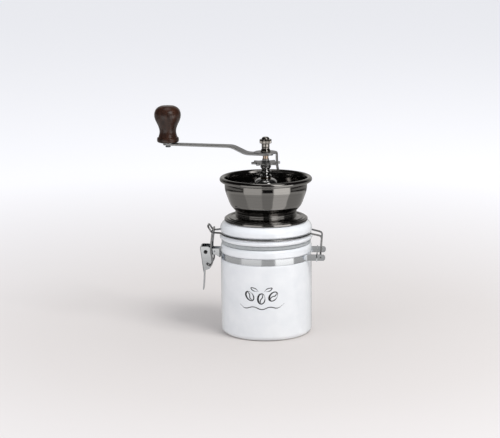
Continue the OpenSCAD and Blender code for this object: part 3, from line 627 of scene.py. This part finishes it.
hinge_x, bail_r, strand, leg_y = 58, extent("bail_wire")[1][1] - wire_r - 0.01, 11.5, 18.6
start = math.degrees(math.asin(strand / bail_r))
sweep = arc((0, 0), bail_r, 180 - start, start, 48)
half_ring = [(x, y, bail_z) for x, y in sweep]
hook = [(-61.3, 7.2, 114.2), (-57.2, 7.9, 107.5), (-53, 8.6, 107.5)]
bail_leg = [(59.2, 10.2, 105), (hinge_x, leg_y, 89), (hinge_x, leg_y, band_z), (hinge_x, 22.3, band_z)]
half_route = hook + half_ring + bail_leg
cuts = [3, 3, 2.5, 2] + [0] * (len(half_ring) - 2) + [2, 3.2, 3, 1.6, 0]
whole = [(x, -y, z) for x, y, z in half_route[::-1]] + half_route
bail = build("lid_bail_wire", [wire(eased(whole, cuts[::-1] + cuts, 8))], bright_wire)
belongs(bail, "lid", "bail_wire")


# ---------------------------------------------------------------- base collar
# Spun steel base under the hopper, black-nickel plated with it: a stepped flange on the lid and a ribbed
# neck that the bowl is pressed on.

# Black nickel over polished steel: a dark warm mirror with the faint rings of spinning and polishing, drawn
# 0.7 mm apart.
gunmetal, tree, shader, place = finish("polished_black_nickel", {"Metallic": 1.0, "Roughness": 0.1})
parts = node(tree, "ShaderNodeSeparateXYZ", {0: place}).outputs
level = node(tree, "ShaderNodeCombineXYZ", {"X": parts["X"], "Y": parts["Y"]}).outputs[0]
radial = node(tree, "ShaderNodeVectorMath", {0: level}, operation="LENGTH").outputs["Value"]
spun = node(tree, "ShaderNodeCombineXYZ", {"X": radial, "Y": parts["Z"]}).outputs[0]
rings = node(tree, "ShaderNodeTexNoise", {"Vector": spun, "Scale": 1400, "Detail": 3}).outputs["Fac"]
marked(tree, shader, rings, "8E8C8A", "979593", blur=(0.08, 0.12), relief=(0.012, 0.00002))

low, high = extent("base_collar")
collar_r, collar_top, neck_r = high[0], high[2], 31.9
bead = [(collar_r - 0.5, lid_top + 0.5, 0.5, -80, 0), (collar_r - 0.5, lid_top + 2, 0.5, 0, 80),
        (collar_r - 2.2, lid_top + 2.9, 0.7, -20, 100),
        (collar_r - 5.6, lid_top + 3.3, 0.7, -10, 120)]
ribs = [(neck_r - 0.1, lid_top + z, 0.8, -62, 62) for z in (5.2, 7, 8.8)]
collar_profile = np.concatenate([
    [[collar_r - 1, lid_top]],
    *[arc((r, z), size, start, end, 8) for r, z, size, start, end in bead],
    eased([[collar_r - 6.5, lid_top + 3.3], [neck_r + 2.6, lid_top + 3.5], [neck_r + 0.7, lid_top + 4.3]], 1),
    *[arc((r, z), size, start, end, 6) for r, z, size, start, end in ribs],
    [[neck_r - 0.3, collar_top], [neck_r - 1.1, collar_top], [neck_r - 1.1, lid_top + 4.2],
     [collar_r - 6.5, lid_top + 2.4], [collar_r - 3, lid_top + 1.6], [collar_r - 2, lid_top]]])
collar = build("spun_base_collar", [(turned(collar_profile), True)], gunmetal, 50)
belongs(collar, "lid", "base_collar")


# ---------------------------------------------------------------- hopper bowl
# Spun steel bowl with its rim curled outwards into a full roll, black-nickel plated and polished. The beans
# slide down its wall to the throat.

def sheet_of(middle, thick):
    """Closed outline of a sheet: its middle line moved out and in by half the thickness along its normal."""
    middle = np.asarray(middle, float)
    along = np.gradient(middle, axis=0)
    along /= np.linalg.norm(along, axis=1, keepdims=True)
    out = np.stack([along[:, 1], -along[:, 0]], 1) * thick / 2
    return np.concatenate([middle + out, (middle - out)[::-1]])


low, high = extent("hopper_bowl")
roll_r, rim_z = 2.7, high[2] - 2.7
rim_r, bowl_t, floor_z = high[0] - roll_r, 0.9, low[2]
bowl_middle = np.concatenate([
    [[22.9, floor_z + 0.45], [28.4, floor_z + 0.45]],
    eased([[28.4, floor_z + 0.45], [30.8, floor_z + 0.5], [32.2, 131.9], [34.6, 134], [36.9, 137],
           [38.3, 140], [39.7, 144], [41.4, 148.6], [42.7, 153.2], [43, 156.4], [43, 162.6]], 9, 4),
    arc((rim_r, rim_z), roll_r - bowl_t / 2, 180, -130, 30)])
bowl = build("spun_hopper_bowl", [(turned(sheet_of(bowl_middle, bowl_t), 256), True)], gunmetal, 60)
belongs(bowl, "lid", "hopper_bowl")


# ---------------------------------------------------------------- mill housing and clamp ring
# Grey iron casting, machined on its seats: its flange stands on the lid, three screws from below draw it
# down against a steel ring, and the fixed burr is pressed in its bore.

# Cast iron, sand-cast and oiled: near black and dull, pebbled about 1 mm apart.
cast_iron, tree, shader, place = finish("oiled_cast_iron", {"Metallic": 1.0, "Roughness": 0.55})
pebble = node(tree, "ShaderNodeTexNoise", {"Vector": place, "Scale": 900, "Detail": 4}).outputs["Fac"]
marked(tree, shader, pebble, "3B3A39", "555351", relief=(0.35, 0.0002))

housing_r, throat_r, seat_r, flange_top = 24.5, 22.5, 21, lid_top + 3.5
flange_r, boss_r, lip_r, housing_low, housing_high = 31.4, 28.4, 18.4, 96, floor_z - 0.05
housing_profile = eased([[lip_r, housing_low], [housing_r, housing_low], [housing_r, lid_top],
                         [flange_r, lid_top], [flange_r, flange_top], [boss_r, flange_top + 0.8],
                         [boss_r, housing_high], [throat_r, housing_high], [throat_r, 122], [seat_r, 122],
                         [seat_r, 98], [lip_r, 98], [lip_r, housing_low]], 0.4, 3)[:-1]
housing = build("mill_housing_casting", [(turned(housing_profile), True)], cast_iron)
belongs(housing, "lid", "burr_housing")

# Hardened burr iron: darker still, mottled 1.4 mm apart, with bright ground crests.
burr_iron, tree, shader, place = finish("hardened_burr_iron", {"Metallic": 1.0, "Roughness": 0.4})
grain = node(tree, "ShaderNodeTexNoise", {"Vector": place, "Scale": 700, "Detail": 5}).outputs["Fac"]
crest = node(tree, "ShaderNodeNewGeometry").outputs["Pointiness"]
worn = node(tree, "ShaderNodeMapRange", {0: crest, 1: 0.5, 2: 0.58}).outputs[0]
base = node(tree, "ShaderNodeValToRGB", {"Fac": grain}, [(0.3, "2E2D2C"), (0.7, "444240")]).outputs[0]
bare = node(tree, "ShaderNodeMix", {0: worn, 6: base, 7: linear("8E8B87")}, data_type="RGBA").outputs[2]
tree.links.new(bare, shader.inputs["Base Color"])

ring_teeth, ring_low, ring_top = 24, 98.1, 121.8
ring_profile = np.concatenate([
    [[20.95, ring_low], [20.95, ring_top], [19.6, ring_top]],
    np.column_stack([np.linspace(19.4, 16.9, 16), np.linspace(ring_top - 0.3, 102, 16)]), [[16.6, ring_low]]])


def square_ring(inner, outer, low, high, cut):
    """Closed outline (radius, height) of a ring of rectangular section with its corners eased by cut."""
    return eased([[inner, low], [outer, low], [outer, high], [inner, high], [inner, low]], cut, 3)[:-1]


def inside_teeth(a, r, z):
    """Slanted teeth cut in the ring's cone: the wall stands back by up to 0.9 in a saw wave round the axis
    that turns with height."""
    phase = (a * ring_teeth / (2 * np.pi) + z * 0.12) % 1
    return np.where((r < 19.5) & (z > 98.5), 0.9 * phase, 0)


fixed_burr = build("fixed_ring_burr", [(turned(ring_profile, 288, inside_teeth), True)], burr_iron, 30)
belongs(fixed_burr, "lid", "outer_burr")

ring_r, ring_z = extent("clamp_plate")[1][0], extent("clamp_plate")[0][2]
clamp_profile = square_ring(24.9, ring_r, ring_z, ring_z + 1.5, 0.25)
clamp = build("clamp_ring", [(turned(clamp_profile), True)], stainless)
belongs(clamp, "lid", "clamp_plate")

# Zinc-plated screw steel: pale, bluish, slightly blurred, with 0.7 mm spangle.
zinc, tree, shader, place = finish("bright_zinc_plate", {"Metallic": 1.0, "Roughness": 0.26})
spangle = node(tree, "ShaderNodeTexNoise", {"Vector": place, "Scale": 1500, "Detail": 2}).outputs["Fac"]
marked(tree, shader, spangle, "A6A9AD", "BFC2C5")


def pan_screws(ring, turns, seat, length, way):
    """Grids of pan-head screws on a circle: shank and domed head turned, with a cross sunk 0.55 deep into the
    head's middle where |x| or |y| is under 0.27 and r under 1.15. way is -1 for screws from below."""
    top = np.stack([np.linspace(1.35, 0, 16), 1.36 - 0.06 * np.linspace(1.35, 0, 16) ** 2], 1)
    screw = turned(np.concatenate([[[0, -length], [1.1, -length], [1.45, 0.35 - length], [1.45, 0], [2.3, 0]],
                                   arc((1.1, 0), 1.2, 10, 70, 5), top]), 72)
    x, y, z = np.moveaxis(screw, 2, 0)
    cross = (np.minimum(abs(x), abs(y)) < 0.27) & (np.hypot(x, y) < 1.15) & (z > 1)
    screw[..., 2] = np.where(cross, z - 0.55, z) * way
    return [screw + (ring * math.cos(a), ring * math.sin(a), seat) for a in np.radians(turns)]


clamp_screws = build("clamp_ring_screws", pan_screws(28.6, (0, 120, 240), ring_z - 0.1, 11.9, -1), zinc)
belongs(clamp_screws, "lid", "clamp_screws")


# ---------------------------------------------------------------- bridge
# Chrome-plated pressing over the throat: a domed cap on three legs, screwed through the bowl's floor. It
# holds the sintered bush that the shaft turns in, and the spring that keeps the burr down.

# Chrome plate: bright, cool, almost a mirror, hazed in patches 2 mm across.
chrome, tree, shader, place = finish("chrome_plate", {"Metallic": 1.0, "Roughness": 0.09})
haze = node(tree, "ShaderNodeTexNoise", {"Vector": place, "Scale": 500, "Detail": 3}).outputs["Fac"]
marked(tree, shader, haze, "CDCDCE", "D9D9D9", blur=(0.06, 0.14))

low, high = extent("bridge")
dome_r, dome_top, foot_z, leg_t = 13.2, high[2], low[2], 1.6
dome_profile = np.concatenate([
    [[5.82, 150], [7.8, 150], [8, 150.3], [8, 156], [12.9, 156], [dome_r, 156.4], [dome_r, 158.6],
     [dome_r - 0.5, 159], [dome_r - 0.5, 159.6]],
    arc((dome_r - 7.7, dome_top - 7.4), 7.4, 16, 86, 14), [[5.82, dome_top]]])
bridge_grids = [(turned(dome_profile, 128), True)]
foot_mid, leg_top, leg_turns = foot_z + leg_t / 2, 156.8, (60, 180, 300)
leg_bend = eased([[9, 0, leg_top], [11.6, 0, leg_top], [22.4, 0, foot_mid], [27.4, 0, foot_mid],
                  [28, 0, foot_mid], [28.6, 0, foot_mid]], 2.2)
leg_width = ends_rounded(leg_bend, 6, 1.6)
for a in np.radians(leg_turns):
    spin = np.array([[math.cos(a), math.sin(a), 0], [-math.sin(a), math.cos(a), 0], [0, 0, 1]])
    bridge_grids.append(strip(leg_bend @ spin, spin[1], leg_width, leg_t, 0.3))
bridge = build("domed_bridge", bridge_grids, chrome)
belongs(bridge, "lid", "bridge")

bridge_screws = build("bridge_leg_screws", pan_screws(26.2, leg_turns, foot_z + leg_t + 0.1, 8, 1), zinc)
belongs(bridge_screws, "lid", "bridge_screws")

# Sintered bronze, soaked in oil: brown gold with fine pores, drawn 0.5 mm apart so that they show.
bronze, tree, shader, place = finish("sintered_bronze", {"Metallic": 1.0, "Roughness": 0.42})
pores = node(tree, "ShaderNodeTexNoise", {"Vector": place, "Scale": 2200, "Detail": 4}).outputs["Fac"]
marked(tree, shader, pores, "7A5B36", "A98352")
bush = build("shaft_bush", [(turned(square_ring(3.08, 5.8, 148, dome_top, 0.3), 96), True)], bronze)
belongs(bush, "lid", "shaft_bushing")

coil_r, coil_turns, coil_low, coil_high = 4.6, 6, 125.7, 147.2
a = np.linspace(0, coil_turns * 2 * np.pi, 190)
coil = np.column_stack([coil_r * np.cos(a), coil_r * np.sin(a), np.linspace(coil_low, coil_high, 190)])
spring = build("burr_spring_coil", [wire(coil, 0.6, 10)], bright_wire)
belongs(spring, "lid", "burr_spring")


# ---------------------------------------------------------------- drive shaft and cone burr
# Ground steel shaft with a shoulder; the cone burr is pushed up against it by a washer and a hexagon nut.

# Ground shaft steel, heat-tinted by hardening: warm straw to pinkish grey. The grinding rings are drawn
# 0.4 mm apart, coarser than real ones, so that they show.
shaft_steel, tree, shader, place = finish("ground_shaft_steel", {"Metallic": 1.0, "Roughness": 0.2})
rings = node(tree, "ShaderNodeMapping", {"Vector": place, "Scale": (60, 60, 2600)}).outputs[0]
rings = node(tree, "ShaderNodeTexNoise", {"Vector": rings, "Scale": 1, "Detail": 3}).outputs["Fac"]
marked(tree, shader, rings, "B39C8B", "CDB8A8", relief=(0.1, 0.00004))

low, high = extent("shaft")
shaft_r, collar_low, collar_high = 3, 122.55, 124.75
shaft_profile = eased([[0, low[2]], [shaft_r, low[2]], [shaft_r, collar_low], [5.4, collar_low],
                       [5.4, collar_high], [shaft_r, collar_high], [shaft_r, high[2]], [0, high[2]]], 0.4, 3)
shaft = build("drive_shaft", [turned(shaft_profile, 64)], shaft_steel)
belongs(shaft, "crank", "shaft")

cone_teeth, land_r = 12, 15.6
cone_low, cone_high = extent("inner_burr")[0][2], extent("inner_burr")[1][2]
up_cone = np.linspace(0, 1, 25)
cone_line = np.column_stack([13.2 - 6.6 * up_cone, cone_low + 1.7 + (cone_high - cone_low - 1.9) * up_cone])
cone_profile = np.concatenate([[[3.03, cone_low], [land_r - 0.2, cone_low], [land_r, cone_low + 0.2],
                                [land_r, cone_low + 1.6]], cone_line, [[5.8, cone_high], [3.03, cone_high]]])


def cone_flutes(a, r, z):
    """Spiral teeth on the cone: a saw wave round the axis, turned with height, adds up to 1.8."""
    phase = (a * cone_teeth / (2 * np.pi) + (z - cone_low) * 0.05) % 1
    return np.where((r > 6.4) & (r < 14), 1.8 * np.maximum(1 - 1.6 * phase, 0), 0)


cone = build("spiral_cone_burr", [(turned(cone_profile, 288, cone_flutes), True)], burr_iron, 30)
belongs(cone, "crank", "inner_burr")

washer_profile = square_ring(3.1, 7, cone_low - 1.3, cone_low - 0.05, 0.2)
washer = build("burr_washer_ring", [(turned(washer_profile, 64), True)], zinc)
belongs(washer, "crank", "burr_washer")


def hexagon(a, r, z):
    """Six flats: the radius of a hexagon, r cos 30 / cos(a mod 60 - 30), less the round one, where r > 4."""
    flat = r * math.cos(math.pi / 6) / np.cos((a + math.pi / 6) % (math.pi / 3) - math.pi / 6)
    return np.where(r > 4, flat - r, 0)


nut_low, nut_r, nut_h = extent("burr_nut")[0][2], 5.75, 5
nut_profile = eased([[3.03, nut_low], [4.9, nut_low], [nut_r, nut_low + 0.5], [nut_r, nut_low + nut_h - 0.5],
                     [4.9, nut_low + nut_h], [3.03, nut_low + nut_h], [3.03, nut_low]], 0.1, 2)[:-1]
burr_nut = build("burr_hexagon_nut", [(turned(nut_profile, 96, hexagon), True)], zinc, 25)
belongs(burr_nut, "crank", "burr_nut")


# ---------------------------------------------------------------- grind adjuster
# Turned hub with three beads and a star wheel on it, chrome plated. Turning the wheel raises the burr; the
# lock clip's bent tab drops in a gap between two lobes and holds it.

low, high = extent("adjuster_hub")
hub_low, hub_high = low[2], high[2]
hub_profile = np.concatenate([
    [[3.03, hub_low], [5.3, hub_low], [5.5, hub_low + 0.2]],
    arc((4.55, 166.9), 1.6, -48, 58, 10), [[4.5, 169.4]],
    arc((4.15, 172.1), 1.65, -55, 55, 10), [[4.05, 174.4]],
    arc((4.15, 177.3), 1.5, -55, 50, 10),
    [[4.4, 179], [4.4, hub_high], [3.03, hub_high]]])
hub = build("beaded_adjuster_hub", [(turned(hub_profile, 96), True)], chrome, 50)
belongs(hub, "crank", "adjuster_hub")

arm_turn, lobes = math.radians(168), 8
wheel_z, wheel_t = extent("adjuster_wheel")[0][2], 2.4
a = np.linspace(0, 2 * np.pi, 256, endpoint=False)
gap = (a - arm_turn + math.pi / lobes) % (2 * math.pi / lobes) - math.pi / lobes
notch_at, notch_r, lobe_r = 15.4, 4.6, 15.2
notch = notch_at * np.cos(gap) - np.sqrt(np.maximum(notch_r ** 2 - (notch_at * np.sin(gap)) ** 2, 0))
rim = np.where(np.abs(notch_at * np.sin(gap)) < notch_r, np.minimum(notch, lobe_r), lobe_r)
soften = np.array([1, 4, 6, 4, 1]) / 16
rim = sum(w * np.roll(rim, k - 2) for k, w in enumerate(soften))
star = np.stack([rim * np.cos(a), rim * np.sin(a)], 1)
boss_z = wheel_z + wheel_t
boss_profile = [[0, wheel_z + 0.3], [4.4, wheel_z + 0.3], [4.4, boss_z], [4.3, boss_z + 0.7],
                [3.65, boss_z + 1.3], [3.6, boss_z + 3.3], [3.1, boss_z + 3.4], [0, boss_z + 3.4]]

# Satin-polished steel of the wheel, clip and arm: mid grey with short linishing marks along the arm, drawn
# 0.4 mm apart, coarser than real ones, so that they show.
satin, tree, shader, place = finish("linished_steel", {"Metallic": 1.0, "Roughness": 0.3})
turned_place = node(tree, "ShaderNodeMapping", {"Vector": place, "Rotation": (0, 0, -arm_turn),
                                                "Scale": (45, 2600, 2600)}, vector_type="POINT").outputs[0]
marks = node(tree, "ShaderNodeTexNoise", {"Vector": turned_place, "Scale": 1, "Detail": 3}).outputs["Fac"]
marked(tree, shader, marks, "A3A3A4", "BBBBBC", blur=(0.32, 0.42), relief=(0.08, 0.00004))

wheel = build("adjuster_star_wheel", [plate(star, wheel_z, wheel_z + wheel_t, (0, 1, 2), 0.5),
                                      turned(boss_profile, 64)], satin)
belongs(wheel, "crank", "adjuster_wheel")

low, high = extent("lock_clip")
clip_t, clip_z = 1.3, high[2] - 1.3
away = np.array([-math.cos(arm_turn), -math.sin(arm_turn), 0])
clip_side = (math.sin(arm_turn), -math.cos(arm_turn), 0)
disc = arc((0, 0), 12.4, 0, 360, 120)[:-1]
tab_line = eased([[9, clip_z + clip_t / 2], [12, clip_z + clip_t / 2], [12.1, 188], [12.5, 178],
                  [13.1, 175.4], [13.9, 174]], [0, 1.2, 1, 1.5, 1, 0])
tab_route = tab_line[:, :1] * away + tab_line[:, 1:] * np.array(up)
tab = strip(tab_route, clip_side, ends_rounded(tab_route, 5.6, 1.8), clip_t, 0.3)
clip = build("lock_clip_disc", [plate(disc, clip_z, clip_z + clip_t, (0, 1, 2), 0.35), tab], satin)
belongs(clip, "crank", "lock_clip")


# ---------------------------------------------------------------- crank arm
# Flat bar blanked from 2.2 mm steel, linished, and set with a dog-leg so that the knob clears the hopper. A
# tall knurled nut draws it down on the shaft.

arm_len, arm_rise, arm_t = 108, 7.1, 2.2
arm_low = clip_z - arm_t / 2
arm_high = arm_low + arm_rise
arm_line = eased([[-8, arm_low], [-7.2, arm_low], [-5.5, arm_low], [0, arm_low], [20.6, arm_low],
                  [36.4, arm_high], [arm_len, arm_high], [arm_len + 3, arm_high], [arm_len + 4.6, arm_high],
                  [arm_len + 5.4, arm_high]], [0, 0, 0, 0, 4, 4, 0, 0, 0, 0], 10)
half_width = 7 - 2 * np.clip(arm_line[:, 0] / arm_len, 0, 1)
round_head = np.sqrt(np.maximum(8 ** 2 - arm_line[:, 0] ** 2, 0.2)) * 7.4 / 8
half_width = np.where(arm_line[:, 0] < 0, round_head, half_width)
past = np.maximum(arm_line[:, 0] - arm_len, 0)
half_width = np.where(past > 0, np.sqrt(np.maximum(5.4 ** 2 - past ** 2, 0.1)) * 5 / 5.4, half_width)
arm_route = arm_line[:, :1] * -away + arm_line[:, 1:] * np.array(up)
arm = build("crank_arm_bar", [strip(arm_route, clip_side, 2 * half_width, arm_t, 0.45)], satin)
belongs(arm, "crank", "crank_arm")

low, high = extent("top_nut")
nut_z, knurl_z, knurl_top, knurls = low[2], 201.8, 206.2, 28
top_profile = np.concatenate([
    eased([[0, nut_z], [5.3, nut_z], [5.3, nut_z + 1.2], [4.9, nut_z + 1.7]], 0.3, 3),
    arc((5.9, 197), 1.9, 225, 150, 10),
    eased([[4.2, 198.4], [4.2, knurl_z - 0.6], [4.6, knurl_z - 0.1], [5.5, knurl_z]], 0.4, 3),
    [[5.9, knurl_z + 0.3], [6.05, knurl_z + 0.7], [6.05, knurl_top - 0.7], [5.9, knurl_top - 0.3],
     [5.5, knurl_top], [4.6, knurl_top + 0.1]],
    arc((1.6, knurl_top + 0.1), 2.5, 2, 66, 10), [[0, high[2]]]])


def knurl(a, r, z):
    """Straight knurl: a triangle wave round the axis adds up to 0.25 either way where the grip is."""
    wave = np.abs((a * knurls / (2 * np.pi)) % 1 - 0.5) * 4 - 1
    grip = (z > knurl_z + 0.2) & (z < knurl_top - 0.2) & (r > 5.8)
    return np.where(grip, 0.25 * wave, 0)


# Nickel-plated turned steel: warm silver with a soft shine, hazed in patches 1 mm across.
nickel, tree, shader, place = finish("nickel_plate", {"Metallic": 1.0, "Roughness": 0.16})
haze = node(tree, "ShaderNodeTexNoise", {"Vector": place, "Scale": 900, "Detail": 3}).outputs["Fac"]
marked(tree, shader, haze, "A39E99", "B8B4AF")
top_nut = build("knurled_top_nut", [turned(top_profile, 336, knurl)], nickel, 30)
belongs(top_nut, "crank", "top_nut")


# ---------------------------------------------------------------- knob
# Turned beech stained walnut brown and lacquered; it spins on a spindle riveted through the arm's end, with a
# washer under it.

knob_at = -away * arm_len
low, high = extent("knob_spindle")
spindle_profile = eased([[0, low[2]], [2.4, low[2]], [3, low[2] + 0.4], [2.2, low[2] + 2.2], [2.2, high[2]],
                         [0, high[2]]], 0.3, 3)
spindle = build("knob_spindle_rivet", [turned(spindle_profile, 48) + knob_at], zinc)
belongs(spindle, "crank", "knob_spindle")

low, high = extent("knob_washer")
disc_profile = square_ring(2.24, 7.4, low[2], high[2], 0.15)
knob_washer = build("knob_washer_ring", [(turned(disc_profile, 64) + knob_at, True)], zinc)
belongs(knob_washer, "crank", "knob_washer")

# Beech under walnut stain and satin lacquer: brown with darker streaks 7 mm wide along the grain, rays
# 0.8 mm wide and 11 mm long, and a soft shine.
walnut, tree, shader, place = finish("walnut_stained_beech", {
    "Roughness": 0.4, "IOR": 1.48, "Coat Weight": 0.5, "Coat Roughness": 0.2})
knob_z = extent("knob")[0][2]
centred = node(tree, "ShaderNodeMapping", {"Vector": place, "Location": tuple(-knob_at / 1000)}).outputs[0]
slow = node(tree, "ShaderNodeMapping", {"Vector": centred, "Scale": (140, 140, 22)}).outputs[0]
figure = node(tree, "ShaderNodeTexNoise", {"Vector": slow, "Scale": 1, "Detail": 4, "Distortion": 0.6})
quick = node(tree, "ShaderNodeMapping", {"Vector": centred, "Scale": (1300, 1300, 90)}).outputs[0]
rays = node(tree, "ShaderNodeTexNoise", {"Vector": quick, "Scale": 1, "Detail": 3}).outputs["Fac"]
stain = node(tree, "ShaderNodeValToRGB", {"Fac": figure.outputs["Fac"]}, [(0.27, "24140D"), (0.73, "47291A")])
streak = node(tree, "ShaderNodeValToRGB", {"Fac": rays}, [(0.35, "D8CFC8"), (0.62, "FFFFFF")])
wood = node(tree, "ShaderNodeMix", {0: 1, 6: stain.outputs[0], 7: streak.outputs[0]}, data_type="RGBA",
            blend_type="MULTIPLY")
tree.links.new(wood.outputs[2], shader.inputs["Base Color"])
bump = node(tree, "ShaderNodeBump", {"Height": rays, "Strength": 0.12, "Distance": 0.0001}).outputs[0]
tree.links.new(bump, shader.inputs["Normal"])

knob_profile = np.concatenate([
    [[0, 0], [2.3, 0], [8.8, 0]],
    eased([[8.8, 0], [10.2, 0.1], [11.5, 0.9], [11.75, 3], [11.5, 4.9], [10.9, 5.6], [10.1, 5.9], [9.9, 6.6],
           [9.5, 8], [8.95, 10], [8.8, 12], [9.1, 14.6], [10.2, 18], [11.6, 20.9], [13, 23.9], [13.9, 26.8],
           [14.2, 29.2], [14, 31.8], [13.1, 34.5], [11.4, 36.8], [9.2, 38.3], [7, 39.1]], 0.9, 3),
    [[5, 39.35], [0, 39.4]]])
knob = build("turned_knob", [turned(knob_profile, 160) + knob_at + (0, 0, knob_z)], walnut, 60)
belongs(knob, "knob", "knob")
